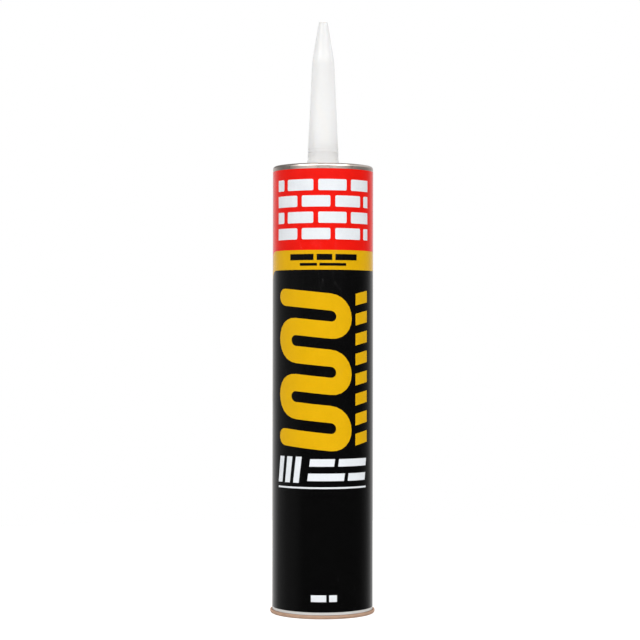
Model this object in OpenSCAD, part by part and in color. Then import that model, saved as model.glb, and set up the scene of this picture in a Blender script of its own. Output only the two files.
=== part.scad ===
// Construction adhesive cartridge, 295 ml, for a cartridge gun.
// A wound fibreboard tube with a printed paper label, a steel end crimped on its top,
// a moulded nozzle held by the steel end, a foil seal under the nozzle, the adhesive,
// and a plunger that the gun's push disc drives up the bore.
// Millimetres. The cartridge stands on its curled foot, with its axis on Z and its front at -Y.

/* [Tube] */
// Diameter over the label
label_d = 49.2; // [46:0.1:54]
// Height from the foot to the top of the crimped seam
body_h = 217.6; // [200:0.2:240]
// Thickness of the fibreboard wall
tube_wall = 0.8; // [0.6:0.05:1.2]
// Height of the curled bead at the foot
foot_h = 1.75; // [1.6:0.05:3]
// Width of the hollow inside the foot's curl
foot_gap = 0.4; // [0.2:0.05:0.8]

/* [Label] */
// Thickness of the label paper
paper_t = 0.15; // [0.1:0.05:0.3]
// Thickness of a coat of printed ink and lacquer
ink_t = 0.1; // [0.06:0.02:0.16]
// Height of the bare paper margin above the foot's bead
margin_h = 1.3; // [0.5:0.1:4]
// Height of the red field, from the label's top edge
red_h = 39; // [36:0.5:50]
// Height of the yellow band under the red field
band_h = 9.4; // [8:0.2:14]
// Width of the yellow line down the left of the black field
side_line_w = 2.5; // [1:0.1:6]
// Radius of the black field's top left corner
corner_r = 8; // [2:0.5:10]
// Width of the label's glued lap at the back
lap_w = 7; // [4:0.5:12]

/* [Label marks] */
// Length of a white brick
brick_l = 14; // [10:0.2:15]
// Height of a white brick
brick_h = 5.4; // [4:0.2:6]
// Gap between bricks
brick_gap = 2.4; // [1:0.1:3]
// Width of the yellow serpentine bead, measured round the tube
bead_w = 39; // [30:0.5:42]
// Stroke of the serpentine bead
bead_stroke = 8.2; // [5:0.2:10]
// Distance between the runs of the serpentine bead
bead_pitch = 13.4; // [12:0.2:15]
// Width of a leaning block in the column beside the bead, measured round the tube
block_w = 8.6; // [5:0.2:10]
// Height of a leaning block
block_h = 5.6; // [3:0.2:7]
// Distance between leaning blocks
block_pitch = 9.6; // [8:0.2:12]
// Height of the white stripes under the bead
stripe_h = 12.5; // [9:0.5:16]

/* [Steel end] */
// Thickness of the steel sheet
steel_t = 0.3; // [0.2:0.05:0.4]
// Height of the crimped seam's outer skirt
seam_h = 2.65; // [2.2:0.05:4]
// Depth of the panel below the seam's top
end_depth = 6.4; // [5.5:0.1:9]
// Height of the raised boss round the nozzle
boss_h = 2; // [1.9:0.1:3]
// Bend radius where the panel meets its wall
panel_bend = 1; // [0.6:0.1:2]

/* [Nozzle] */
// Length of the nozzle above the seam's top
nozzle_l = 71.1; // [50:0.1:90]
// Diameter of the closed tip
tip_d = 4.4; // [3:0.1:6]
// Diameter where the steep tip cone meets the long cone
shoulder_d = 10.8; // [9:0.1:12]
// Length of the steep tip cone
tip_l = 19.1; // [12:0.1:25]
// Length, up and down from the corner, over which the two cones are blended
shoulder_blend = 1.4; // [0.2:0.1:3]
// Diameter at the foot of the long cone
cone_d = 14.8; // [13:0.1:15]
// Diameter of the neck that the gun's slot takes
neck_d = 15.7; // [15.3:0.1:17]
// Height of the neck's top above the seam
neck_top_h = 3.15; // [2.5:0.05:6]
// Height of the grooved collar above the neck
collar_h = 6.45; // [5:0.05:9]
// Wall of the nozzle
nozzle_wall = 1.3; // [0.8:0.1:2]
// Thickness of the nozzle's base flange
flange_t = 1.5; // [1:0.1:1.6]
// Thickness of the foil seal
seal_t = 0.15; // [0.1:0.05:0.3]

/* [Contents and plunger] */
// Volume of the adhesive in millilitres
contents_ml = 295; // [250:1:305]
// Height of the plunger
plunger_h = 18; // [12:0.5:20]
// Wall of the plunger
plunger_wall = 1.2; // [0.8:0.1:2]
// Clearance of the plunger's lips in the bore
plunger_fit = 0.05; // [0.02:0.01:0.1]

/* [Hidden] */
$fn = 96;

// Glue, crimp, seat and paste clearances, and the overrun of a cutter
label_fit = 0.02;
crimp_fit = 0.02;
seat_fit = 0.02;
fill_fit = 0.03;
fill_gap = 0.15;
cut = 1;

// Tube radii
label_r = label_d / 2;
paper_r = label_r - ink_t - paper_t;
tube_or = paper_r - label_fit;
tube_ir = tube_or - tube_wall;

// Foot: the wall curls out and up round a hollow, and a shallow flat is what it stands on
foot_curl_r = tube_wall + foot_gap / 2;
foot_flat = 0.05;
foot_curl_z = foot_curl_r - foot_flat;
foot_curl_c = tube_ir + foot_curl_r;

// Crimped seam: steel outside, two thicknesses of fibreboard with a slit between them inside
curl_gap = 0.2;
seam_inset = 0.1;
seam_w = 2 * (tube_wall + steel_t + crimp_fit) + curl_gap;
seam_or = label_r - seam_inset;
seam_c = seam_or - seam_w / 2;
seam_z = body_h - seam_w / 2;
skirt_z = body_h - seam_h;
curl_or = tube_wall + curl_gap / 2;
skirt_clear = 0.05;
neck_in_h = 0.65;
leg_drop = 1.35;
neck_in_top = skirt_z - skirt_clear;
neck_in_foot = neck_in_top - neck_in_h;
leg_z = skirt_z - leg_drop;

// Label heights
foot_clear = 0.1;
label_z0 = foot_h + foot_clear;
label_z1 = skirt_z - skirt_clear;
print_z0 = label_z0 + margin_h;
red_z = label_z1 - red_h;
black_z = red_z - band_h;

// Label angles. Arc positions run from the front centre, positive to the right as seen from the front.
black_left = -36.5;
line_left = black_left - side_line_w;
lap_angle = arc_deg(lap_w);
lap_end = 90 + lap_angle / 2;
lap_start = 90 - lap_angle / 2;
lap_shift = (paper_t + ink_t) / sin(lap_angle);
bare_edge = 0.06;

// Steel end
panel_z = body_h - end_depth;
wall_ir = seam_or - seam_w;
boss_z = panel_z + boss_h;
boss_r = 10.6;
boss_foot_r = 13;
neck_fit = 0.05;
hub_step = 0.7;
hub_d = neck_d + 2 * hub_step;
hub_h = 0.4;
hole_r = hub_d / 2 + neck_fit;
rib_r = 17.2;
rib_w = 3;
rib_h = 0.6;

// Nozzle
flange_inset = 0.1;
tip_z = body_h + nozzle_l;
shoulder_z = tip_z - tip_l;
groove_z = body_h + neck_top_h;
cone_z = groove_z + collar_h;
collar_step = 0.14;
collar_d = (cone_d + neck_d) / 2 - collar_step;
flange_r = boss_r - flange_inset;
flange_z = boss_z - steel_t - seat_fit - flange_t;
groove_pitch = 1.65;
groove_w = 0.45;
groove_deep = 0.22;
groove_shallow = 0.1;
groove_depths = [groove_deep, groove_shallow, groove_deep, groove_shallow, groove_shallow];
tip_edge = 0.3;
tip_wall = 1.4;

// Contents and plunger
seal_inset = 1;
seal_r = flange_r - seal_inset;
fill_top = min(panel_z - steel_t, flange_z - seal_t) - fill_gap;
fill_r = tube_ir - fill_fit;
fill_l = contents_ml * 1000 / (PI * pow(fill_r, 2));
crown_z = fill_top - fill_l - seat_fit;
crown_t = 1.6;
plunger_z = crown_z - plunger_h;
lip_r = tube_ir - plunger_fit;
lip_h = 1.6;
lip_edge = 0.3;
lip_out = 0.7;
skirt_r = lip_r - lip_out;
gusset_l = 5;
gusset_h = 7;
gusset_t = 1;
gusset_count = 8;

// Degrees of an arc of length s on the label, and the chord offset of a point s round from its middle
function arc_deg(s) = s / (label_d / 2) * 180 / PI;
function chord(s) = label_r * sin(arc_deg(s));

// Points of an arc about c, from angle a0 to a1 in n steps
function arc(c, r, a0, a1, n = 8) =
    [for (i = [0:n]) c + r * [cos(a0 + (a1 - a0) * i / n), sin(a0 + (a1 - a0) * i / n)]];

// A rectangle w by h about its centre c, its corners rounded by r
function rounded(c, w, h, r) = concat(
    arc(c + [w / 2 - r, h / 2 - r], r, 0, 90, 4),
    arc(c + [r - w / 2, h / 2 - r], r, 90, 180, 4),
    arc(c + [r - w / 2, r - h / 2], r, 180, 270, 4),
    arc(c + [w / 2 - r, r - h / 2], r, 270, 360, 4));

// A leaning bar: its left end x, width w, foot z, height h and the sideways lean of its top
function bar(x, w, z, h, lean = 0) =
    [[x, z], [x + w, z], [x + w + lean, z + h], [x + lean, z + h]];

// One side of a serpentine whose runs climb from the origin: side is 1 for left of the travel, -1 for right
function serpentine_side(a, pitch, stroke, runs, side) = [
    for (i = [0:runs - 2])
        let (right = i % 2 == 0,
             r = pitch / 2 - side * (right ? 1 : -1) * stroke / 2)
        each arc([right ? a : -a, (i + 0.5) * pitch], r, -90, right ? 90 : -270, 12)];

// Points of a soft corner at b between the lines from a and to c, which starts and ends the length l from b
function soft_corner(a, b, c, l, n = 6) =
    let (p = b + l * (a - b) / norm(a - b), q = b + l * (c - b) / norm(c - b))
    [for (i = [0:n]) let (t = i / n) (1 - t) * (1 - t) * p + 2 * t * (1 - t) * b + t * t * q];

function reversed(list) = [for (i = [len(list) - 1:-1:0]) list[i]];

// The closed outline of a serpentine of the given overall width, with round ends
function serpentine(width, pitch, stroke, runs) =
    let (a = (width - stroke - pitch) / 2,
         start = [-a - pitch / 2, 0],
         end = [runs % 2 == 0 ? -a - pitch / 2 : a + pitch / 2, (runs - 1) * pitch])
    concat(
        arc(start, stroke / 2, 270, 90, 10),
        serpentine_side(a, pitch, stroke, runs, 1),
        arc(end, stroke / 2, -90, runs % 2 == 0 ? -270 : 90, 10),
        reversed(serpentine_side(a, pitch, stroke, runs, -1)));

// White bricks on the red field: three whole bricks to a row, and a half one at its right and left in turn
brick_rows = 4;
brick_edge = 0.7;
brick_step = brick_l + brick_gap;
brick_half = (brick_l - brick_gap) / 2;
wall_w = 3 * brick_step + brick_half;
wall_h = brick_rows * brick_h + (brick_rows - 1) * brick_gap;
wall_s = 0.6;
wall_z = red_z + (red_h - wall_h) / 2;
function brick(left, row, l) = rounded(
    [wall_s - wall_w / 2 + left + l / 2, wall_z + row * (brick_h + brick_gap) + brick_h / 2],
    l, brick_h, brick_edge);
bricks = [for (row = [0:brick_rows - 1])
    let (odd = row % 2)
    each concat(
        [for (i = [0:2]) brick(i * brick_step + odd * (brick_half + brick_gap), row, brick_l)],
        [brick((1 - odd) * 3 * brick_step, row, brick_half)])];

// Black dashes on the yellow band: each has its left end and its length
dash_h = 2.9;
thin_dash_h = 1.3;
dash_gap = 1.4;
dash_z = black_z + (band_h - dash_h - dash_gap - thin_dash_h) / 2;
band_marks = concat(
    [for (d = [[-17, 12.4], [-3, 7.4], [6, 11.6]])
        bar(d[0], d[1], dash_z + thin_dash_h + dash_gap, dash_h)],
    [for (d = [[-11.5, 8.6], [-1.7, 13.2]]) bar(d[0], d[1], dash_z, thin_dash_h)]);

// The yellow bead, which falls to the right, and the column of leaning blocks beside it
bead_runs = 6;
bead_s = -4.8;
bead_fall = 0.1;
bead_drop = 10.5;
bead_z = black_z - bead_drop - bead_stroke / 2 - (bead_runs - 1) * bead_pitch;
bead_foot = bead_z - bead_stroke / 2 - bead_fall * bead_w / 2;
bead_outline = [for (p = serpentine(bead_w, bead_pitch, bead_stroke, bead_runs))
    p + [0, bead_z - bead_fall * p.x]];
block_gap = 2.3;
block_s = bead_s + bead_w / 2 + block_gap;
block_rise = 1.6;
block_count = 8;
block_lift = 1.5;
block_z = bead_z - bead_stroke / 2 + block_lift;
blocks = [for (i = [0:block_count - 1])
    [for (p = bar(block_s, block_w, block_z + i * block_pitch, block_h))
        p + [0, block_rise * (p.x - block_s) / block_w]]];

// White marks under the bead: leaning stripes, two rows of dashes, a fine rule, and a pair near the foot
mark_left = -25.5;
mark_w = 50.2;
mark_gap = 1.7;
mark_z = bead_foot - mark_gap - stripe_h;
stripe_w = 3.2;
stripe_step = 5.2;
stripe_lean = 1.6;
white_dash_h = 3.6;
white_dash_inset = 1;
white_dash_lean = 0.5;
rule_h = 0.8;
rule_drop = 2.7;
foot_mark_h = 3.2;
foot_mark_lift = 5;
foot_mark_z = print_z0 + foot_mark_lift;
white_marks = concat(
    [for (i = [0:2]) bar(mark_left + stripe_step * i, stripe_w, mark_z, stripe_h, stripe_lean)],
    [for (d = [[-6.5, 12], [7.5, 17]])
        bar(d[0], d[1], mark_z + stripe_h - white_dash_inset - white_dash_h, white_dash_h, white_dash_lean)],
    [for (d = [[-7.5, 18], [12.5, 11.2]])
        bar(d[0], d[1], mark_z + white_dash_inset, white_dash_h, white_dash_lean)],
    [bar(mark_left, mark_w, mark_z - rule_drop, rule_h)],
    [for (d = [[-5.6, 7.4], [3.2, 3.8]]) bar(d[0], d[1], foot_mark_z, foot_mark_h)]);

// A ring of sheet in section: from radius r0 to r1 about c, between the angles a0 and a1, at most 180 apart
module bend(c, r0, r1, a0, a1) {
    reach = 2 * r1;
    middle = (a0 + a1) / 2;
    translate(c) intersection() {
        difference() {
            circle(r1);
            circle(r0);
        }
        polygon([[0, 0], reach * [cos(a0), sin(a0)], reach * [cos(middle), sin(middle)],
                 reach * [cos(a1), sin(a1)]]);
    }
}

// A rectangle in section between two corners
module block(p0, p1) {
    translate([min(p0.x, p1.x), min(p0.y, p1.y)]) square([abs(p1.x - p0.x), abs(p1.y - p0.y)]);
}

// The wound tube, its foot curled out and its top curled in under the steel
module fibre_tube() {
    neck_or = seam_or - steel_t - crimp_fit;
    foot_leg_x = foot_curl_c + foot_gap / 2;
    foot_leg_z = foot_h - tube_wall / 2;
    color("peru") rotate_extrude() {
        difference() {
            bend([foot_curl_c, foot_curl_z], foot_gap / 2, foot_curl_r, 180, 360);
            block([0, -cut], [foot_curl_c + 2 * foot_curl_r, 0]);
        }
        block([foot_leg_x, foot_curl_z], [foot_leg_x + tube_wall, foot_leg_z]);
        translate([foot_leg_x + tube_wall / 2, foot_leg_z]) circle(tube_wall / 2);
        block([tube_ir, foot_curl_z], [tube_or, neck_in_foot]);
        polygon([[tube_ir, neck_in_foot], [tube_or, neck_in_foot],
                 [neck_or, neck_in_top], [neck_or - tube_wall, neck_in_top]]);
        block([neck_or - tube_wall, neck_in_top], [neck_or, seam_z]);
        bend([seam_c, seam_z], curl_gap / 2, curl_or, 0, 180);
        block([seam_c - curl_or, leg_z], [seam_c - curl_gap / 2, seam_z]);
    }
}

// The outline of the wrapped label at radius r, its lap rising to its loose edge
module wrap_outline(r) {
    circle(r);
    intersection() {
        translate(lap_shift * [cos(lap_start + 90), sin(lap_start + 90)]) circle(r);
        polygon([[0, 0], 2 * r * [cos(lap_start), sin(lap_start)], 2 * r * [cos(lap_end), sin(lap_end)]]);
    }
}

// The coat of field ink on the paper, between two heights. The paper is bare along the lap's loose edge.
module field_ink(z0, z1) {
    bare = arc_deg(bare_edge);
    translate([0, 0, z0]) linear_extrude(z1 - z0) difference() {
        wrap_outline(label_r);
        wrap_outline(label_r - ink_t);
        polygon(concat([[0, 0]], arc([0, 0], 2 * label_r, lap_end - bare, lap_end + bare, 1)));
    }
}

// The coat of ink that marks on the fields are printed in
module mark_ink(z0, z1) {
    translate([0, 0, z0]) linear_extrude(z1 - z0) difference() {
        circle(label_r + ink_t);
        circle(label_r);
    }
}

// A cutter that carries an outline, given round the label, through the wall at the arc position s
module stamp(outline, s = 0) {
    rotate([90, 0, arc_deg(s)]) translate([0, 0, label_r / 2]) linear_extrude(label_r)
        polygon([for (p = outline) [chord(p.x), p.y]]);
}

module stamps(outlines, s = 0) {
    for (outline = outlines) stamp(outline, s);
}

// Right of the arc position s, under the height z, up to the lap's edge, its top left corner rounded by r
module panel_zone(s, z, r) {
    left = -90 + arc_deg(s);
    reach = 2 * label_r;
    difference() {
        translate([0, 0, print_z0 - cut]) cylinder(r = reach, h = z - print_z0 + cut);
        translate([0, 0, print_z0 - 2 * cut]) linear_extrude(z - print_z0 + 3 * cut)
            polygon(concat([[0, 0]], arc([0, 0], 1.5 * reach, lap_end, left + 360, 4)));
        stamp(concat([[-cut, z - r], [-cut, z + cut], [r, z + cut]],
                     arc([r, z - r], r, 90, 180, 8)), s);
    }
}

module black_zone() {
    panel_zone(black_left, black_z, corner_r);
}

module yellow_zone() {
    panel_zone(line_left, red_z, corner_r + side_line_w);
}

// The label paper, bare at the foot's margin
module label_paper() {
    color("white") translate([0, 0, label_z0]) linear_extrude(label_z1 - label_z0) difference() {
        wrap_outline(label_r - ink_t);
        circle(paper_r);
    }
}

module label_red_ink() {
    color("red") difference() {
        field_ink(print_z0, label_z1);
        yellow_zone();
    }
}

module label_yellow_ink() {
    color("goldenrod") {
        difference() {
            intersection() {
                field_ink(print_z0, red_z);
                yellow_zone();
            }
            black_zone();
        }
        intersection() {
            mark_ink(print_z0, black_z);
            union() {
                stamp(bead_outline, bead_s);
                stamps(blocks);
            }
        }
    }
}

module label_black_ink() {
    color("black") {
        intersection() {
            field_ink(print_z0, black_z);
            black_zone();
        }
        intersection() {
            mark_ink(black_z, red_z);
            stamps(band_marks);
        }
    }
}

module label_white_ink() {
    color("white") {
        intersection() {
            mark_ink(red_z, label_z1);
            stamps(bricks);
        }
        intersection() {
            mark_ink(print_z0, black_z);
            stamps(white_marks);
        }
    }
}

// The steel end: a channel over the tube's curl, a wall down to the panel, and a boss round the nozzle
module steel_end() {
    r = seam_w / 2;
    rib_r0 = rib_r - rib_w / 2;
    rib_r1 = rib_r + rib_w / 2;
    panel_top = [
        [hole_r, boss_z], [boss_r, boss_z], [boss_foot_r, panel_z],
        [rib_r0, panel_z], [rib_r0 + rib_h, panel_z + rib_h],
        [rib_r1 - rib_h, panel_z + rib_h], [rib_r1, panel_z],
        [wall_ir - panel_bend, panel_z]];
    panel_under = [for (p = panel_top) p - [0, steel_t]];
    color("silver") rotate_extrude() {
        block([seam_or - steel_t, skirt_z], [seam_or, seam_z]);
        bend([seam_c, seam_z], r - steel_t, r, 0, 180);
        block([wall_ir, panel_z + panel_bend], [wall_ir + steel_t, seam_z]);
        bend([wall_ir - panel_bend, panel_z + panel_bend], panel_bend, panel_bend + steel_t, 270, 360);
        polygon(concat(panel_under, reversed(panel_top)));
    }
}

// The nozzle: a flange under the boss, a grooved collar, a long cone, and a steep closed tip
module nozzle() {
    tip_r = tip_d / 2;
    bore_r = neck_d / 2 - nozzle_wall;
    cone_foot = [cone_d / 2, cone_z];
    shoulder = [shoulder_d / 2, shoulder_z];
    tip_side = [tip_r, tip_z - tip_edge];
    color("whitesmoke") difference() {
        rotate_extrude() polygon(concat(
            [[0, flange_z], [flange_r, flange_z], [flange_r, flange_z + flange_t],
             [hub_d / 2, flange_z + flange_t], [hub_d / 2, boss_z + hub_h], [neck_d / 2, boss_z + hub_h],
             [neck_d / 2, groove_z], [collar_d / 2, groove_z], [collar_d / 2, groove_z + 2 * groove_pitch],
             cone_foot],
            soft_corner(cone_foot, shoulder, tip_side, shoulder_blend),
            arc([tip_r - tip_edge, tip_z - tip_edge], tip_edge, 10, 90, 5),
            [[0, tip_z]]));
        rotate_extrude() polygon([
            [0, flange_z - cut], [bore_r, flange_z - cut], [bore_r, body_h],
            [cone_d / 2 - nozzle_wall, cone_z], [shoulder_d / 2 - nozzle_wall, shoulder_z - tip_wall],
            [tip_r / 2, tip_z - tip_wall], [0, tip_z - tip_wall]]);
        for (i = [0:len(groove_depths) - 1]) {
            r = i < 2 ? collar_d / 2 : cone_d / 2;
            z = groove_z + i * groove_pitch;
            translate([0, 0, z]) rotate_extrude() block([r - groove_depths[i], 0], [r + cut, groove_w]);
        }
    }
}

// The foil disc sealed under the nozzle's flange
module nozzle_seal() {
    color("lightgray") translate([0, 0, flange_z - seal_t]) cylinder(r = seal_r, h = seal_t);
}

// The adhesive between the plunger and the steel end
module adhesive_fill() {
    color("tan") translate([0, 0, fill_top - fill_l]) cylinder(r = fill_r, h = fill_l);
}

// The plunger: a cup, open below, with a lip at each end and gussets inside
module plunger() {
    color("ivory") {
        rotate_extrude() {
            block([0, crown_z - crown_t], [skirt_r, crown_z]);
            block([skirt_r - plunger_wall, plunger_z], [skirt_r, crown_z]);
            for (z = [plunger_z, crown_z - lip_h])
                polygon([[skirt_r - plunger_wall / 2, z], [lip_r - lip_edge, z], [lip_r, z + lip_edge],
                         [lip_r, z + lip_h - lip_edge], [lip_r - lip_edge, z + lip_h],
                         [skirt_r - plunger_wall / 2, z + lip_h]]);
        }
        for (i = [0:gusset_count - 1])
            rotate([90, 0, i * 360 / gusset_count]) translate([0, 0, -gusset_t / 2])
                linear_extrude(gusset_t) polygon([
                    [skirt_r - plunger_wall / 2, crown_z - crown_t / 2],
                    [skirt_r - plunger_wall - gusset_l, crown_z - crown_t / 2],
                    [skirt_r - plunger_wall - gusset_l, crown_z - crown_t],
                    [skirt_r - plunger_wall / 2, crown_z - crown_t - gusset_h]]);
    }
}

fibre_tube();
label_paper();
label_red_ink();
label_yellow_ink();
label_black_ink();
label_white_ink();
steel_end();
nozzle();
nozzle_seal();
adhesive_fill();
plunger();
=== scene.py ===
import math

import bmesh
import bpy
from bpy.props import FloatProperty, FloatVectorProperty, IntProperty, PointerProperty
from mathutils import Euler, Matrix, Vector


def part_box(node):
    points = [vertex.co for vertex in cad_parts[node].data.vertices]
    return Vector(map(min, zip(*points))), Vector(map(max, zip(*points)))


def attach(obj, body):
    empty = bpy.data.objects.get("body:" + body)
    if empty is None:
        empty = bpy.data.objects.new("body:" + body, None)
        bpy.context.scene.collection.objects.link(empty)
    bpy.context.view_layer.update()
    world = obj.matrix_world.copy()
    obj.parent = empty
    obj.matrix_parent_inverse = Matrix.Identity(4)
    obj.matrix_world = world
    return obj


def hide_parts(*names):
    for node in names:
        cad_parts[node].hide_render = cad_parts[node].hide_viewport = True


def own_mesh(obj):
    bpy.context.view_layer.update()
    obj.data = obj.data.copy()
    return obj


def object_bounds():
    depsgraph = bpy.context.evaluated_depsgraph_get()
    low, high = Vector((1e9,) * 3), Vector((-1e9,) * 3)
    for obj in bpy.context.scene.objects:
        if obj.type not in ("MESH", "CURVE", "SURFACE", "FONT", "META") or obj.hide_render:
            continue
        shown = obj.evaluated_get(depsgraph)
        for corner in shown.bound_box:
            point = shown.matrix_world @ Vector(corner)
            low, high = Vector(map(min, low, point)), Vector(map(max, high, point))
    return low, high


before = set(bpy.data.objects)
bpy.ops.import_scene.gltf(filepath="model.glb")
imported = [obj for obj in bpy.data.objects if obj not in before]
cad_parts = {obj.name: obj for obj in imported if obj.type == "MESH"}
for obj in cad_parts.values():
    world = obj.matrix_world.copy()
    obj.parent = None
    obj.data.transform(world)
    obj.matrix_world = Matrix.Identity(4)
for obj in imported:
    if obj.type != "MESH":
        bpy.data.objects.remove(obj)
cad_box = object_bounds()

bl_info = {
    "name": "Construction adhesive cartridge",
    "version": (1, 0, 0),
    "blender": (4, 5, 0),
    "location": "View3D > Sidebar > Cartridge",
    "description": "Finishes the tube, label, steel end, nozzle and contents of an adhesive cartridge",
    "category": "Object",
}

BARREL = "barrel"

# What a mirror sees of the studio at eye level, from in front of the cartridge, 0, to behind it, 1
STUDIO_GLOW = ((0.0, 0.02), (0.48, 0.03), (0.587, 0.07), (0.7, 0.14), (0.794, 0.26), (0.894, 0.55),
               (0.987, 0.8))

# How many degrees that is turned about the cartridge, and what is added to it from SIDE_START to the far left
GLOW_TURN = 5.0
SIDE_START = -0.75
SIDE_GLOW = 0.08

# What it sees above eye level, in shares of SKY_PEAK, from behind, 0, round by the left, front and right
SKY_PEAK = 2.0
SKY_GLOW = ((0.0, 0.12), (0.2, 0.08), (0.27, 0.14), (0.34, 0.75), (0.4, 1.0), (0.56, 0.9), (0.65, 0.5),
            (0.74, 0.35), (0.88, 0.35), (1.0, 0.12))

# What it sees straight above
ZENITH_GLOW = 0.15

# How far up, as the sine of the rise, the glow above eye level and the one straight above start and are full
SKY_START = 0.11
SKY_FULL = 0.21
ZENITH_START = 0.6
ZENITH_FULL = 0.9

# Where the lamps stand, in degrees round from the front and in degrees up
FRONT_LAMP_TURN = 38.0
BACK_LAMP_TURN = 150.0
LAMP_RISE = 40.0

# What the floor gives back to the cartridge, and what it shows: one part takes shadow and one doesn't
FLOOR_RETURN = 0.8
FLOOR_SHADED = 0.3
FLOOR_PLAIN = 0.86

# How many metres below a moulding's top the painted shade along its top edge starts, and where it is full
PAINTED_TOP_SHADE_START = 0.0009
PAINTED_TOP_SHADE_FULL = 0.0003

# How far a moulded wall turns away, from 0 face on to 1 edge on, before its painted sheen, the rim's share,
# is full
PAINTED_RIM_SHEEN_FULL = 0.45

# The palest that a moulding may be
PALEST = (0.98, 0.98, 0.97)

# Faces round a turned piece, and sides of the floor
ROUND_SIDES = 96


# Settings

def colour(name, description, value):
    """A property that holds a linear colour."""
    return FloatVectorProperty(name=name, description=description, default=value, subtype="COLOR",
                               size=3, min=0.0, max=1.0)


def length(name, description, value):
    """A property that holds a length in metres."""
    return FloatProperty(name=name, description=description, default=value, subtype="DISTANCE",
                         unit="LENGTH", min=0.0, precision=5)


def share(name, description, value):
    """A property between 0 and 1."""
    return FloatProperty(name=name, description=description, default=value, subtype="FACTOR",
                         min=0.0, max=1.0)


def watts(name, description, value):
    """A property that holds a lamp's power."""
    return FloatProperty(name=name, description=description, default=value, min=0.0)


class LabelSettings(bpy.types.PropertyGroup):
    """Colours and finish of the printed label."""
    paper: colour("Paper", "Bare paper of the label", (0.74, 0.74, 0.72))
    red: colour("Red ink", "Ink of the top field", (0.86, 0.008, 0.003))
    yellow: colour("Yellow ink", "Ink of the band, the bead and the blocks", (0.77, 0.43, 0.002))
    black: colour("Black ink", "Ink of the main field", (0.0018, 0.0018, 0.0019))
    white: colour("White ink", "Ink of the bricks and stripes", (0.82, 0.85, 0.88))
    varnish: share("Varnish roughness", "Roughness of the varnish over the inks", 0.15)
    mottle: share("Mottle", "How much the ink's depth varies", 0.05)
    scuff: share("Scuffs", "How far the varnish is rubbed dull by handling", 0.12)


class BoardSettings(bpy.types.PropertyGroup):
    """Colours and winding of the fibreboard tube."""
    board: colour("Board", "Kraft board", (0.5, 0.315, 0.215))
    liner: colour("Liner", "Pale inner ply of the tube", (0.52, 0.42, 0.31))
    ply_pitch: length("Ply pitch", "Rise of the inner ply's seam in one turn", 0.062)
    fibre: length("Fibre", "Length of a fibre that shows in the board", 0.0012)


class SteelSettings(bpy.types.PropertyGroup):
    """Colour and finish of the tinned steel."""
    tin: colour("Tin", "Tinned surface", (0.72, 0.63, 0.57))
    polish: share("Roughness", "Roughness of the tinned surface", 0.3)


class PlasticSettings(bpy.types.PropertyGroup):
    """Colours and mould marks of the plastic parts."""
    nozzle: colour("Nozzle", "Natural white polyethylene", (0.83, 0.828, 0.82))
    plunger: colour("Plunger", "Natural polyethylene of the plunger", (0.8, 0.79, 0.74))
    satin: share("Roughness", "Roughness of the moulded surface", 0.17)


class ContentsSettings(bpy.types.PropertyGroup):
    """Colours of the paste and of the foil seal."""
    paste: colour("Paste", "Adhesive paste", (0.62, 0.5, 0.33))
    foil: colour("Foil", "Foil seal under the nozzle", (0.82, 0.82, 0.83))
    rings: IntProperty(name="Paste rings", description="Rings of faces up the paste", default=48, min=4)


class StudioSettings(bpy.types.PropertyGroup):
    """Camera, lamps and floor."""
    lens: FloatProperty(name="Lens", description="Focal length on a 36 mm sensor", default=103.67, min=10.0)
    stand_off: length("Camera distance", "From the cartridge's axis to the camera", 0.903)
    eye_h: length("Camera height", "Height of the camera above the floor", 0.1345)
    eye_x: FloatProperty(name="Camera offset", description="How far right of the axis the camera stands",
                         default=-0.00137, subtype="DISTANCE", unit="LENGTH", precision=5)
    pitch: FloatProperty(name="Camera pitch", description="How far the camera looks up",
                         default=math.radians(0.519), subtype="ANGLE", unit="ROTATION")
    roll: FloatProperty(name="Camera roll", description="Turn of the camera about its line of sight",
                        default=math.radians(-0.09), subtype="ANGLE", unit="ROTATION")
    floor_r: length("Floor radius", "Radius of the round floor", 0.45)
    lamp_d: length("Lamp distance", "From the cartridge's middle to each lamp", 1.4)
    lamp_size: length("Lamp size", "Side of each square lamp", 0.95)
    left_w: watts("Left lamp", "Power of the front lamp at the left in watts", 10.7)
    right_w: watts("Right lamp", "Power of the front lamp at the right in watts", 11.0)
    back_w: watts("Back lamps", "Power of each back lamp in watts", 7.0)
    ambient: FloatProperty(name="Ambient", description="Light from all round", default=0.32, min=0.0)
    bore_glow: FloatProperty(name="Bore glow", description="Light in the empty bore", default=0.7, min=0.0)


SETTINGS = {
    "cartridge_label": LabelSettings,
    "cartridge_board": BoardSettings,
    "cartridge_steel": SteelSettings,
    "cartridge_plastic": PlasticSettings,
    "cartridge_contents": ContentsSettings,
    "cartridge_studio": StudioSettings,
}


# Nodes

def add(tree, kind, inputs=None, **settings):
    """A new node with its settings. Inputs that are sockets are linked, and the others are set."""
    made = tree.nodes.new(kind)
    for name, value in settings.items():
        setattr(made, name, value)
    for name, value in (inputs or {}).items():
        if isinstance(value, bpy.types.NodeSocket):
            tree.links.new(value, made.inputs[name])
        else:
            made.inputs[name].default_value = value
    return made


def math_node(tree, operation, a, b=0.0, clamp=False):
    """The result of a Math node."""
    return add(tree, "ShaderNodeMath", {0: a, 1: b}, operation=operation, use_clamp=clamp).outputs[0]


def remap(tree, value, low, high, to_low=0.0, to_high=1.0, smooth=True):
    """A value taken from one range to another and held there."""
    kind = "SMOOTHSTEP" if smooth else "LINEAR"
    return add(tree, "ShaderNodeMapRange", {"Value": value, "From Min": low, "From Max": high,
                                            "To Min": to_low, "To Max": to_high},
               interpolation_type=kind).outputs["Result"]


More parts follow.
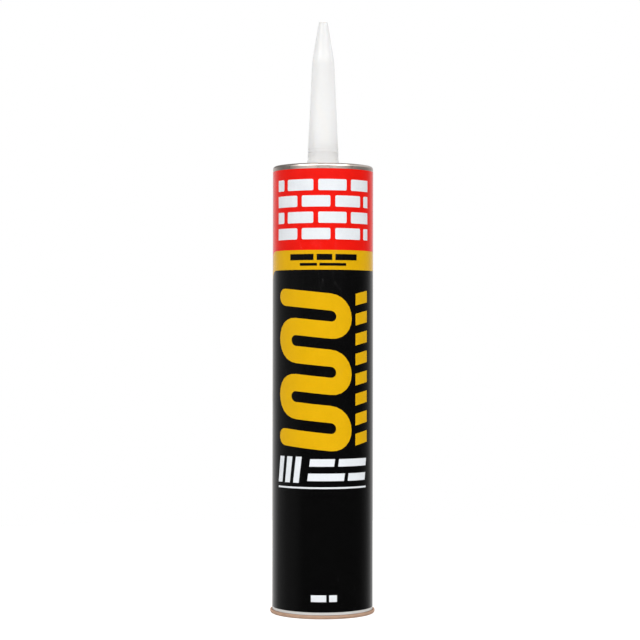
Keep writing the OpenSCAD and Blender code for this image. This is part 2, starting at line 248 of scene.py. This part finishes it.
def mix(tree, factor, a, b):
    """Two colours mixed."""
    made = add(tree, "ShaderNodeMix", data_type="RGBA", blend_type="MIX")
    # The node's sockets for colours come after those for numbers and vectors, and have the same names
    for index, value in ((0, factor), (6, a), (7, b)):
        if isinstance(value, bpy.types.NodeSocket):
            tree.links.new(value, made.inputs[index])
        else:
            made.inputs[index].default_value = value
    return made.outputs[2]


def rgba(value, strength=1.0):
    """A colour property as four numbers, made darker or lighter."""
    return (*(min(1.0, c * strength) for c in value), 1.0)


def place(tree):
    """Sets the nodes out in columns, by how many links lie between each and the output."""
    depth = {}

    def visit(made, steps):
        if depth.get(made, -1) < steps:
            depth[made] = steps
            for socket in made.inputs:
                for link in socket.links:
                    visit(link.from_node, steps + 1)

    for made in tree.nodes:
        if not any(socket.links for socket in made.outputs):
            visit(made, 0)
    rows = {}
    for made, steps in depth.items():
        row = rows.get(steps, 0)
        rows[steps] = row + 1
        made.location = (-240 * steps, -220 * row)


def group(name, inputs, outputs, build):
    """A shader node group, made once. build takes the tree and its input sockets and returns its outputs."""
    if name in bpy.data.node_groups:
        return bpy.data.node_groups[name]
    tree = bpy.data.node_groups.new(name, "ShaderNodeTree")
    for socket, default in inputs.items():
        made = tree.interface.new_socket(socket, in_out="INPUT", socket_type="NodeSocketFloat")
        made.default_value = default
    for socket in outputs:
        tree.interface.new_socket(socket, in_out="OUTPUT", socket_type="NodeSocketFloat")
    start = tree.nodes.new("NodeGroupInput")
    values = build(tree, start.outputs)
    add(tree, "NodeGroupOutput", values)
    place(tree)
    return tree


def use(tree, made_group, **inputs):
    """A node group placed in a material, with its own values. Its inputs are named with underscores here."""
    made = add(tree, "ShaderNodeGroup", node_tree=made_group)
    for name, value in inputs.items():
        socket = made.inputs[name.replace("_", " ").capitalize()]
        if isinstance(value, bpy.types.NodeSocket):
            tree.links.new(value, socket)
        else:
            socket.default_value = value
    return made.outputs


def object_point(tree, scale=(1.0, 1.0, 1.0)):
    """The point on the object, in metres, with each axis scaled."""
    point = add(tree, "ShaderNodeTexCoord").outputs["Object"]
    return add(tree, "ShaderNodeMapping", {"Vector": point, "Scale": scale}).outputs[0]


def noise(tree, vector, scale, detail=4.0, roughness=0.55):
    """The value of a Noise Texture."""
    return add(tree, "ShaderNodeTexNoise", {"Vector": vector, "Scale": scale, "Detail": detail,
                                            "Roughness": roughness}).outputs["Fac"]


def cloud_group():
    """Two sizes of soft blotch, from -1 to 1. Size is the larger blotch's width in metres."""
    def build(tree, given):
        point = object_point(tree)
        scale = math_node(tree, "DIVIDE", 1.0, given["Size"])
        fine_scale = math_node(tree, "MULTIPLY", scale, 9.0)
        large = remap(tree, noise(tree, point, scale), 0.3, 0.7, -1.0, 1.0, smooth=False)
        fine = remap(tree, noise(tree, point, fine_scale, detail=2.0), 0.3, 0.7, -1.0, 1.0, smooth=False)
        mean = math_node(tree, "MULTIPLY", math_node(tree, "ADD", large, fine), 0.5)
        return {"Value": mean}
    return group("Blotches", {"Size": 0.004}, ["Value"], build)


def fibre_group():
    """Fibres that lie mostly round the tube. Length is a fibre's length in metres."""
    def build(tree, given):
        scale = math_node(tree, "DIVIDE", 1.0, given["Length"])
        lying = noise(tree, object_point(tree, (1.0, 1.0, 5.0)), scale, detail=5.0, roughness=0.6)
        standing = noise(tree, object_point(tree, (3.5, 3.5, 1.0)), scale, detail=5.0, roughness=0.6)
        height = math_node(tree, "ADD", math_node(tree, "MULTIPLY", lying, 0.65),
                           math_node(tree, "MULTIPLY", standing, 0.35))
        return {"Height": height, "Mask": remap(tree, height, 0.5, 0.64)}
    return group("Fibres", {"Length": 0.001}, ["Height", "Mask"], build)


def scratch_group():
    """Sparse fine scratches. Size is the spacing of the scratches in metres."""
    def build(tree, given):
        scale = math_node(tree, "DIVIDE", 1.0, given["Size"])
        point = add(tree, "ShaderNodeTexCoord").outputs["Object"]
        total = None
        for turn, stretch in ((0.5, (1.0, 1.0, 0.12)), (1.9, (1.0, 1.0, 0.2))):
            turned = add(tree, "ShaderNodeMapping", {"Vector": point, "Rotation": (0.25 * turn, 0.3, turn),
                                                     "Scale": stretch}).outputs[0]
            wavy = noise(tree, turned, scale, detail=3.0, roughness=0.5)
            line = math_node(tree, "ABSOLUTE", math_node(tree, "SUBTRACT", wavy, 0.5))
            mark = remap(tree, line, 0.0, 0.006, 1.0, 0.0)
            total = mark if total is None else math_node(tree, "MAXIMUM", total, mark)
        sparse = noise(tree, object_point(tree), math_node(tree, "MULTIPLY", scale, 0.35), detail=2.0)
        return {"Mask": math_node(tree, "MULTIPLY", total, remap(tree, sparse, 0.5, 0.62))}
    return group("Scratches", {"Size": 0.01}, ["Mask"], build)


def seam_group():
    """The seam of a ply wound in a helix, in metres: Pitch is its rise in one turn, Width its own width."""
    def build(tree, given):
        axes = add(tree, "ShaderNodeSeparateXYZ", {"Vector": object_point(tree)}).outputs
        turn = math_node(tree, "DIVIDE", math_node(tree, "ARCTAN2", axes["Y"], axes["X"]), 2 * math.pi)
        rise = math_node(tree, "SUBTRACT", math_node(tree, "DIVIDE", axes["Z"], given["Pitch"]), turn)
        away = math_node(tree, "ABSOLUTE", math_node(tree, "SUBTRACT", math_node(tree, "FRACT", rise), 0.5))
        near = math_node(tree, "DIVIDE", math_node(tree, "MULTIPLY", away, given["Pitch"]), given["Width"])
        return {"Mask": remap(tree, near, 0.0, 1.0, 1.0, 0.0)}
    return group("Wound seam", {"Pitch": 0.06, "Width": 0.0006}, ["Mask"], build)


# Materials

def finish(name, build, **principled):
    """A material: build takes its tree and Principled node, and principled gives that node's constants."""
    material = bpy.data.materials.new(name)
    material.use_nodes = True
    tree = material.node_tree
    tree.nodes.clear()
    shader = add(tree, "ShaderNodeBsdfPrincipled", principled)
    add(tree, "ShaderNodeOutputMaterial", {"Surface": shader.outputs[0]})
    build(tree, shader)
    place(tree)
    return material


def link(tree, value, socket):
    """Feeds a value into a socket."""
    tree.links.new(value, socket)


def shade(tree, value, base, low, high):
    """A base colour made darker and lighter, by the shares low and high, as value goes from -1 to 1."""
    factor = remap(tree, value, -1.0, 1.0, smooth=False)
    return mix(tree, factor, rgba(base, low), rgba(base, high))


def varied(tree, level, *parts):
    """A level with shares of other values added to it, held from 0 to 1. A part is a value and its share."""
    total = None
    for value, part in parts:
        added = math_node(tree, "MULTIPLY", value, part)
        total = added if total is None else math_node(tree, "ADD", total, added)
    return math_node(tree, "ADD", total, level, clamp=True)


def bump(tree, height, distance, normal=None):
    """The normal that a height in shares of distance gives. Distance is in metres."""
    inputs = {"Height": height, "Distance": distance}
    if normal is not None:
        inputs["Normal"] = normal
    return add(tree, "ShaderNodeBump", inputs).outputs["Normal"]


def printed(name, base, settings):
    """Varnished ink on paper: slight mottle, rubbed patches, and a trace of the paper's fibres."""
    def build(tree, shader):
        blotches = use(tree, cloud_group(), size=0.006)["Value"]
        scratches = use(tree, scratch_group(), size=0.012)["Mask"]
        fibres = use(tree, fibre_group(), length=0.0009)["Height"]
        level = settings.mottle
        link(tree, shade(tree, blotches, base, 1.0 - level, 1.0 + level), shader.inputs["Base Color"])
        rough = varied(tree, settings.varnish, (blotches, 0.03), (scratches, settings.scuff))
        link(tree, rough, shader.inputs["Roughness"])
        link(tree, bump(tree, fibres, distance=0.000012), shader.inputs["Normal"])
    return finish(name, build, IOR=1.5)


def bare_paper(name, base):
    """The label's paper, with its fibres."""
    def build(tree, shader):
        fibres = use(tree, fibre_group(), length=0.0006)
        tint = remap(tree, fibres["Mask"], 0.0, 1.0, -1.0, 1.0, smooth=False)
        link(tree, shade(tree, tint, base, low=0.94, high=1.03), shader.inputs["Base Color"])
        link(tree, bump(tree, fibres["Height"], distance=0.00003), shader.inputs["Normal"])
    return finish(name, build, Roughness=0.6)


def kraft_board(name, settings):
    """Kraft board: long fibres, blotches, and the inner ply's wound seam."""
    def build(tree, shader):
        fibres = use(tree, fibre_group(), length=settings.fibre)
        blotches = use(tree, cloud_group(), size=0.005)["Value"]
        seam = use(tree, seam_group(), pitch=settings.ply_pitch, width=0.0007)["Mask"]
        board = shade(tree, blotches, settings.board, low=0.82, high=1.16)
        fleck = math_node(tree, "MULTIPLY", fibres["Mask"], 0.45)
        flecked = mix(tree, fleck, board, rgba(settings.board, strength=1.4))
        axes = add(tree, "ShaderNodeSeparateXYZ", {"Vector": object_point(tree)}).outputs
        radius = math_node(tree, "SQRT", math_node(tree, "ADD", math_node(tree, "POWER", axes["X"], 2.0),
                                                   math_node(tree, "POWER", axes["Y"], 2.0)))
        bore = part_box("adhesive_fill")[1].x
        ply = 0.0003
        inside = remap(tree, radius, bore, bore + ply, 1.0, 0.0)
        lined = mix(tree, inside, flecked, rgba(settings.liner))
        darker = math_node(tree, "MULTIPLY", math_node(tree, "MULTIPLY", seam, inside), 0.6)
        shown = mix(tree, darker, lined, rgba(settings.board, strength=0.5))
        link(tree, shown, shader.inputs["Base Color"])
        link(tree, varied(tree, 0.62, (fibres["Height"], 0.2)), shader.inputs["Roughness"])
        fuzz = bump(tree, fibres["Height"], distance=0.00006)
        link(tree, bump(tree, seam, distance=0.0001, normal=fuzz), shader.inputs["Normal"])
    return finish(name, build)


def tinplate(name, settings):
    """Tinned steel, drawn and rolled: fine scratches round the axis and soft patches of tin."""
    def build(tree, shader):
        blotches = use(tree, cloud_group(), size=0.003)["Value"]
        scratches = use(tree, scratch_group(), size=0.004)["Mask"]
        link(tree, shade(tree, blotches, settings.tin, low=0.93, high=1.06), shader.inputs["Base Color"])
        rings = noise(tree, object_point(tree, (0.03, 0.03, 1.0)), scale=9000.0, detail=2.0)
        grain = 0.1
        # The rings' value is 0.5 on average, so half of their share comes off the roughness
        rough = varied(tree, settings.polish - grain / 2, (blotches, 0.04), (scratches, 0.2), (rings, grain))
        link(tree, rough, shader.inputs["Roughness"])
        link(tree, bump(tree, rings, distance=0.000004), shader.inputs["Normal"])
    return finish(name, build, Metallic=1.0)


def moulded(name, node, base, roughness, glow, sheen=0.0, foot=1.0, tip=1.0, top=1.0, rim=1.0):
    """Moulded polyethylene that lets a little light through: soft flow blotches and a fine matt texture.

    Its base colour carries painted light: scaled by the shares foot and tip from the node's foot to its top,
    as painted light and shade, by the share top at the top's edge, as painted shade, and by the share rim
    where it is seen edge on, as a painted sheen.
    """
    def build(tree, shader):
        blotches = use(tree, cloud_group(), size=0.009)["Value"]
        scratches = use(tree, scratch_group(), size=0.008)["Mask"]
        low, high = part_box(node)
        z = add(tree, "ShaderNodeSeparateXYZ", {"Vector": object_point(tree)}).outputs["Z"]
        # Painted light and shade up the wall: lighter at the foot, where the steel end shades it, darker
        # towards the tip, which the lamps light more
        painted_height_light = remap(tree, z, low.z, high.z, foot, tip, smooth=False)
        # Painted shade along the top edge, darker by the share top
        edge = remap(tree, z, high.z - PAINTED_TOP_SHADE_START, high.z - PAINTED_TOP_SHADE_FULL, 1.0, top)
        # Painted sheen: the base colour is lighter by the share rim where the wall is seen edge on
        facing = add(tree, "ShaderNodeLayerWeight", {"Blend": 0.5}).outputs["Facing"]
        turned = remap(tree, facing, 0.0, PAINTED_RIM_SHEEN_FULL, 1.0, rim, smooth=False)
        level = math_node(tree, "MULTIPLY", math_node(tree, "MULTIPLY", painted_height_light, edge), turned)
        plain = shade(tree, blotches, base, low=0.985, high=1.012)
        shown = add(tree, "ShaderNodeVectorMath", {0: plain, "Scale": level}, operation="SCALE").outputs[0]
        held = add(tree, "ShaderNodeVectorMath", {0: shown, 1: PALEST}, operation="MINIMUM").outputs[0]
        link(tree, held, shader.inputs["Base Color"])
        rough = varied(tree, roughness, (blotches, 0.05), (scratches, 0.15))
        link(tree, rough, shader.inputs["Roughness"])
        texture = noise(tree, object_point(tree), scale=2600.0, detail=3.0)
        link(tree, bump(tree, texture, distance=0.000006), shader.inputs["Normal"])
    return finish(name, build, **{
        "Subsurface Weight": glow, "Subsurface Radius": (1.0, 0.9, 0.8), "Subsurface Scale": 0.0015,
        "Sheen Weight": sheen, "Sheen Roughness": 0.45, "Specular IOR Level": 0.3, "IOR": 1.51})


def thick_paste(name, base):
    """Adhesive paste: smooth and a little wet."""
    def build(tree, shader):
        blotches = use(tree, cloud_group(), size=0.008)["Value"]
        link(tree, shade(tree, blotches, base, low=0.93, high=1.06), shader.inputs["Base Color"])
        link(tree, varied(tree, 0.38, (blotches, 0.08)), shader.inputs["Roughness"])
        link(tree, bump(tree, blotches, distance=0.0001), shader.inputs["Normal"])
    return finish(name, build, IOR=1.46)


def sealing_foil(name, base):
    """Aluminium foil with slight creases."""
    def build(tree, shader):
        blotches = use(tree, cloud_group(), size=0.002)["Value"]
        scratches = use(tree, scratch_group(), size=0.003)["Mask"]
        link(tree, shade(tree, blotches, base, low=0.95, high=1.04), shader.inputs["Base Color"])
        link(tree, varied(tree, 0.28, (scratches, 0.2)), shader.inputs["Roughness"])
        link(tree, bump(tree, blotches, distance=0.00003), shader.inputs["Normal"])
    return finish(name, build, Metallic=1.0)


def coat(node, material):
    """Gives a CAD node its material."""
    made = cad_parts[node]
    made.data.materials.clear()
    made.data.materials.append(material)
    return made


# Meshes

def piece(name, vertices, faces, material, body):
    """A new smooth mesh piece that rides on a body."""
    mesh = bpy.data.meshes.new(name)
    mesh.from_pydata(vertices, [], faces)
    mesh.validate()
    mesh.update()
    for polygon in mesh.polygons:
        polygon.use_smooth = True
    mesh.materials.append(material)
    made = bpy.data.objects.new(name, mesh)
    bpy.context.scene.collection.objects.link(made)
    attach(made, body)
    return made


def revolve(name, profile, material, body):
    """A closed piece turned about Z from a profile of radius and height, whose ends lie on the axis."""
    vertices, faces, starts = [], [], []
    for radius, z in profile:
        starts.append(len(vertices))
        count = 1 if radius == 0.0 else ROUND_SIDES
        for i in range(count):
            a = 2 * math.pi * i / ROUND_SIDES
            vertices.append((radius * math.cos(a), radius * math.sin(a), z))
    for (r0, _), (r1, _), s0, s1 in zip(profile, profile[1:], starts, starts[1:]):
        for i in range(ROUND_SIDES):
            j = (i + 1) % ROUND_SIDES
            lower = [s0] if r0 == 0.0 else [s0 + i, s0 + j]
            upper = [s1] if r1 == 0.0 else [s1 + j, s1 + i]
            faces.append(lower + upper)
    return piece(name, vertices, faces, material, body)


# Operators

class CARTRIDGE_OT_dress_tube(bpy.types.Operator):
    """Finish the wound fibreboard tube"""
    bl_idname = "cartridge.dress_tube"
    bl_label = "Tube"

    def execute(self, context):
        coat("fibre_tube", kraft_board("Kraft board", context.scene.cartridge_board))
        return {"FINISHED"}


class CARTRIDGE_OT_dress_label(bpy.types.Operator):
    """Finish the label's paper and its four inks"""
    bl_idname = "cartridge.dress_label"
    bl_label = "Label"

    def execute(self, context):
        settings = context.scene.cartridge_label
        coat("label_paper", bare_paper("Label paper", settings.paper))
        for ink in ("red", "yellow", "black", "white"):
            material = printed(f"{ink.capitalize()} ink", getattr(settings, ink), settings)
            coat(f"label_{ink}_ink", material)
        return {"FINISHED"}


class CARTRIDGE_OT_dress_steel_end(bpy.types.Operator):
    """Finish the tinned steel end"""
    bl_idname = "cartridge.dress_steel_end"
    bl_label = "Steel end"

    def execute(self, context):
        coat("steel_end", tinplate("Tinplate", context.scene.cartridge_steel))
        return {"FINISHED"}


class CARTRIDGE_OT_dress_nozzle(bpy.types.Operator):
    """Finish the nozzle and its foil seal"""
    bl_idname = "cartridge.dress_nozzle"
    bl_label = "Nozzle"

    def execute(self, context):
        settings = context.scene.cartridge_plastic
        # Painted light in the nozzle's colour: lighter at the foot, which the steel end shades, painted shade
        # on the tip and its top edge, which the lamps light more, and a painted sheen at the sides
        plastic = moulded("Nozzle plastic", "nozzle", settings.nozzle, settings.satin, glow=0.4, sheen=1.0,
                          foot=1.09, tip=0.85, top=0.86, rim=1.19)
        coat("nozzle", plastic)
        coat("nozzle_seal", sealing_foil("Foil", context.scene.cartridge_contents.foil))
        return {"FINISHED"}


class CARTRIDGE_OT_make_paste(bpy.types.Operator):
    """Make the adhesive paste in the bore"""
    bl_idname = "cartridge.make_paste"
    bl_label = "Paste"

    def execute(self, context):
        settings = context.scene.cartridge_contents
        low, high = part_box("adhesive_fill")
        radius = high.x
        height = high.z - low.z
        bevel = 0.0006
        profile = [(0.0, low.z), (radius - bevel, low.z)]
        profile += [(radius, low.z + bevel + (height - 2 * bevel) * i / settings.rings)
                    for i in range(settings.rings + 1)]
        profile += [(radius - bevel, high.z), (0.0, high.z)]
        made = revolve("adhesive_paste", profile, thick_paste("Paste", settings.paste), BARREL)
        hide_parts("adhesive_fill")
        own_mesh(made)
        return {"FINISHED"}


class CARTRIDGE_OT_dress_plunger(bpy.types.Operator):
    """Finish the plunger"""
    bl_idname = "cartridge.dress_plunger"
    bl_label = "Plunger"

    def execute(self, context):
        settings = context.scene.cartridge_plastic
        plastic = moulded("Plunger plastic", "plunger", settings.plunger, settings.satin + 0.1, glow=0.15)
        coat("plunger", plastic)
        return {"FINISHED"}


class CARTRIDGE_OT_set_stage(bpy.types.Operator):
    """Set up the floor, the studio's light and the camera"""
    bl_idname = "cartridge.set_stage"
    bl_label = "Stage"

    def execute(self, context):
        settings = context.scene.cartridge_studio
        set_floor(settings)
        set_world(context.scene, settings)
        set_lamps(context.scene, settings)
        set_camera(context.scene, settings)
        context.scene.view_settings.view_transform = "Standard"
        return {"FINISHED"}


def steps_ramp(tree, factor, steps):
    """Grey levels that follow a factor through steps of position and level."""
    ramp = add(tree, "ShaderNodeValToRGB", {"Fac": factor})
    stops = ramp.color_ramp.elements
    for stop, (position, level) in zip(stops, (steps[0], steps[-1])):
        stop.position = position
        stop.color = rgba((level,) * 3)
    for position, level in steps[1:-1]:
        stops.new(position).color = rgba((level,) * 3)
    return ramp.outputs["Color"]


def mirror_ray(tree):
    """1 for a ray that left a glossy surface before anything scattered it, and 0 for the rest."""
    path = add(tree, "ShaderNodeLightPath").outputs
    first = math_node(tree, "LESS_THAN", path["Diffuse Depth"], 0.5)
    return math_node(tree, "MULTIPLY", path["Is Glossy Ray"], first)


def studio_glow(tree, direction):
    """What a mirror sees of the studio in a direction: bright behind the cartridge, dim in front of it."""
    turned = add(tree, "ShaderNodeVectorRotate", {"Vector": direction, "Angle": math.radians(-GLOW_TURN)},
                 rotation_type="Z_AXIS").outputs[0]
    axes = add(tree, "ShaderNodeSeparateXYZ", {"Vector": turned}).outputs
    ramp = steps_ramp(tree, remap(tree, axes["Y"], -1.0, 1.0, smooth=False), STUDIO_GLOW)
    side = remap(tree, axes["X"], SIDE_START, -1.0, 0.0, SIDE_GLOW)
    level = math_node(tree, "ADD", ramp, side)
    plain = add(tree, "ShaderNodeSeparateXYZ", {"Vector": direction}).outputs
    turn = math_node(tree, "ARCTAN2", plain["X"], math_node(tree, "MULTIPLY", plain["Y"], -1.0))
    sky = steps_ramp(tree, remap(tree, turn, -math.pi, math.pi, smooth=False), SKY_GLOW)
    above = remap(tree, plain["Z"], SKY_START, SKY_FULL)
    high = remap(tree, plain["Z"], ZENITH_START, ZENITH_FULL)
    dome = mix(tree, high, math_node(tree, "MULTIPLY", sky, SKY_PEAK), rgba((ZENITH_GLOW,) * 3))
    return mix(tree, above, level, dome)


def white_floor(settings):
    """White as the background is to the camera, apart from the cartridge's shadow, and the studio to mirrors.

    It is clear from below, and glows inside the foot's ring, so that the empty bore can be seen from there.
    """
    material = bpy.data.materials.new("Floor")
    material.use_nodes = True
    tree = material.node_tree
    tree.nodes.clear()
    path = add(tree, "ShaderNodeLightPath").outputs
    seen = math_node(tree, "MAXIMUM", path["Is Camera Ray"], path["Is Transmission Ray"])
    plain = add(tree, "ShaderNodeBsdfDiffuse", {"Color": rgba((FLOOR_RETURN,) * 3)}).outputs[0]
    shadowed = add(tree, "ShaderNodeBsdfDiffuse", {"Color": rgba((FLOOR_SHADED,) * 3)}).outputs[0]
    white = add(tree, "ShaderNodeEmission", {"Strength": FLOOR_PLAIN}).outputs[0]
    shown = add(tree, "ShaderNodeAddShader", {0: shadowed, 1: white}).outputs[0]
    geometry = add(tree, "ShaderNodeNewGeometry").outputs
    direction = add(tree, "ShaderNodeVectorMath", {0: geometry["Incoming"], "Scale": -1.0},
                    operation="SCALE").outputs[0]
    mirrored = add(tree, "ShaderNodeEmission", {"Color": studio_glow(tree, direction)}).outputs[0]
    open_air = add(tree, "ShaderNodeMixShader", {"Fac": mirror_ray(tree), 1: plain, 2: mirrored}).outputs[0]
    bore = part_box("adhesive_fill")[1].x
    point = add(tree, "ShaderNodeTexCoord").outputs["Object"]
    away = add(tree, "ShaderNodeVectorMath", {0: point}, operation="LENGTH").outputs["Value"]
    in_bore = math_node(tree, "LESS_THAN", away, bore)
    glow = add(tree, "ShaderNodeEmission", {"Strength": settings.bore_glow}).outputs[0]
    unseen = add(tree, "ShaderNodeMixShader", {"Fac": in_bore, 1: open_air, 2: glow}).outputs[0]
    both = add(tree, "ShaderNodeMixShader", {"Fac": seen, 1: unseen, 2: shown}).outputs[0]
    clear = add(tree, "ShaderNodeBsdfTransparent").outputs[0]
    under = math_node(tree, "MULTIPLY", seen, geometry["Backfacing"])
    surface = add(tree, "ShaderNodeMixShader", {"Fac": under, 1: both, 2: clear}).outputs[0]
    add(tree, "ShaderNodeOutputMaterial", {"Surface": surface})
    place(tree)
    return material


def set_floor(settings):
    """A round floor under the cartridge's foot."""
    mesh = bpy.data.meshes.new("floor")
    shape = bmesh.new()
    bmesh.ops.create_circle(shape, cap_ends=True, segments=ROUND_SIDES, radius=settings.floor_r)
    shape.to_mesh(mesh)
    shape.free()
    mesh.materials.append(white_floor(settings))
    floor = bpy.data.objects.new("floor", mesh)
    bpy.context.scene.collection.objects.link(floor)


def set_world(scene, settings):
    """White to the camera, the studio to mirrors, and an even grey to all else."""
    world = bpy.data.worlds.new("Studio")
    scene.world = world
    world.use_nodes = True
    tree = world.node_tree
    tree.nodes.clear()
    path = add(tree, "ShaderNodeLightPath").outputs
    direction = add(tree, "ShaderNodeTexCoord").outputs["Generated"]
    mirrored = add(tree, "ShaderNodeBackground", {"Color": studio_glow(tree, direction)}).outputs[0]
    soft = add(tree, "ShaderNodeBackground", {"Color": rgba((settings.ambient,) * 3)}).outputs[0]
    white = add(tree, "ShaderNodeBackground", {"Color": rgba((1, 1, 1))}).outputs[0]
    unseen = add(tree, "ShaderNodeMixShader", {"Fac": mirror_ray(tree), 1: soft, 2: mirrored}).outputs[0]
    seen = math_node(tree, "MAXIMUM", path["Is Camera Ray"], path["Is Transmission Ray"])
    both = add(tree, "ShaderNodeMixShader", {"Fac": seen, 1: unseen, 2: white}).outputs[0]
    add(tree, "ShaderNodeOutputWorld", {"Surface": both})
    place(tree)


def set_lamps(scene, settings):
    """Large soft lamps, high in front of the cartridge and behind it. Mirrors see those in front."""
    low, high = cad_box
    middle = (low + high) / 2
    lamps = (("lamp_left", -FRONT_LAMP_TURN, settings.left_w, True),
             ("lamp_right", FRONT_LAMP_TURN, settings.right_w, True),
             ("lamp_back_left", -BACK_LAMP_TURN, settings.back_w, False),
             ("lamp_back_right", BACK_LAMP_TURN, settings.back_w, False))
    for name, turn, power, mirrored in lamps:
        data = bpy.data.lights.new(name, "AREA")
        data.shape = "SQUARE"
        data.size = settings.lamp_size
        data.energy = power
        lamp = bpy.data.objects.new(name, data)
        lamp.visible_glossy = mirrored
        scene.collection.objects.link(lamp)
        a, e = math.radians(turn), math.radians(LAMP_RISE)
        toward = Vector((math.sin(a) * math.cos(e), -math.cos(a) * math.cos(e), math.sin(e)))
        lamp.location = middle + toward * settings.lamp_d
        lamp.rotation_euler = toward.to_track_quat("Z", "Y").to_euler()


def set_camera(scene, settings):
    """The photograph's camera: a little higher than the middle of the tube, and about 0.9 metres away."""
    data = bpy.data.cameras.new("camera")
    data.lens = settings.lens
    data.sensor_width = 36.0
    data.clip_start = 0.01
    camera = bpy.data.objects.new("camera", data)
    scene.collection.objects.link(camera)
    camera.location = (settings.eye_x, -settings.stand_off, settings.eye_h)
    camera.rotation_euler = Euler((math.pi / 2 + settings.pitch, settings.roll, 0.0))
    scene.camera = camera


STEPS = (
    CARTRIDGE_OT_dress_tube,
    CARTRIDGE_OT_dress_label,
    CARTRIDGE_OT_dress_steel_end,
    CARTRIDGE_OT_dress_nozzle,
    CARTRIDGE_OT_make_paste,
    CARTRIDGE_OT_dress_plunger,
    CARTRIDGE_OT_set_stage,
)


class CARTRIDGE_PT_steps(bpy.types.Panel):
    """Lists the steps that finish the cartridge"""
    bl_idname = "CARTRIDGE_PT_steps"
    bl_label = "Adhesive cartridge"
    bl_space_type = "VIEW_3D"
    bl_region_type = "UI"
    bl_category = "Cartridge"

    def draw(self, context):
        for step in STEPS:
            self.layout.operator(step.bl_idname)


CLASSES = (*SETTINGS.values(), *STEPS, CARTRIDGE_PT_steps)


def register():
    """Registers the classes and adds the settings to the scene."""
    for cls in CLASSES:
        bpy.utils.register_class(cls)
    for name, cls in SETTINGS.items():
        setattr(bpy.types.Scene, name, PointerProperty(type=cls))


def unregister():
    """Takes the settings and the classes away."""
    for name in SETTINGS:
        delattr(bpy.types.Scene, name)
    for cls in reversed(CLASSES):
        bpy.utils.unregister_class(cls)


def main():
    """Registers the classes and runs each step."""
    register()
    for step in STEPS:
        family, call = step.bl_idname.split(".")
        getattr(getattr(bpy.ops, family), call)()


if __name__ == "__main__":
    main()
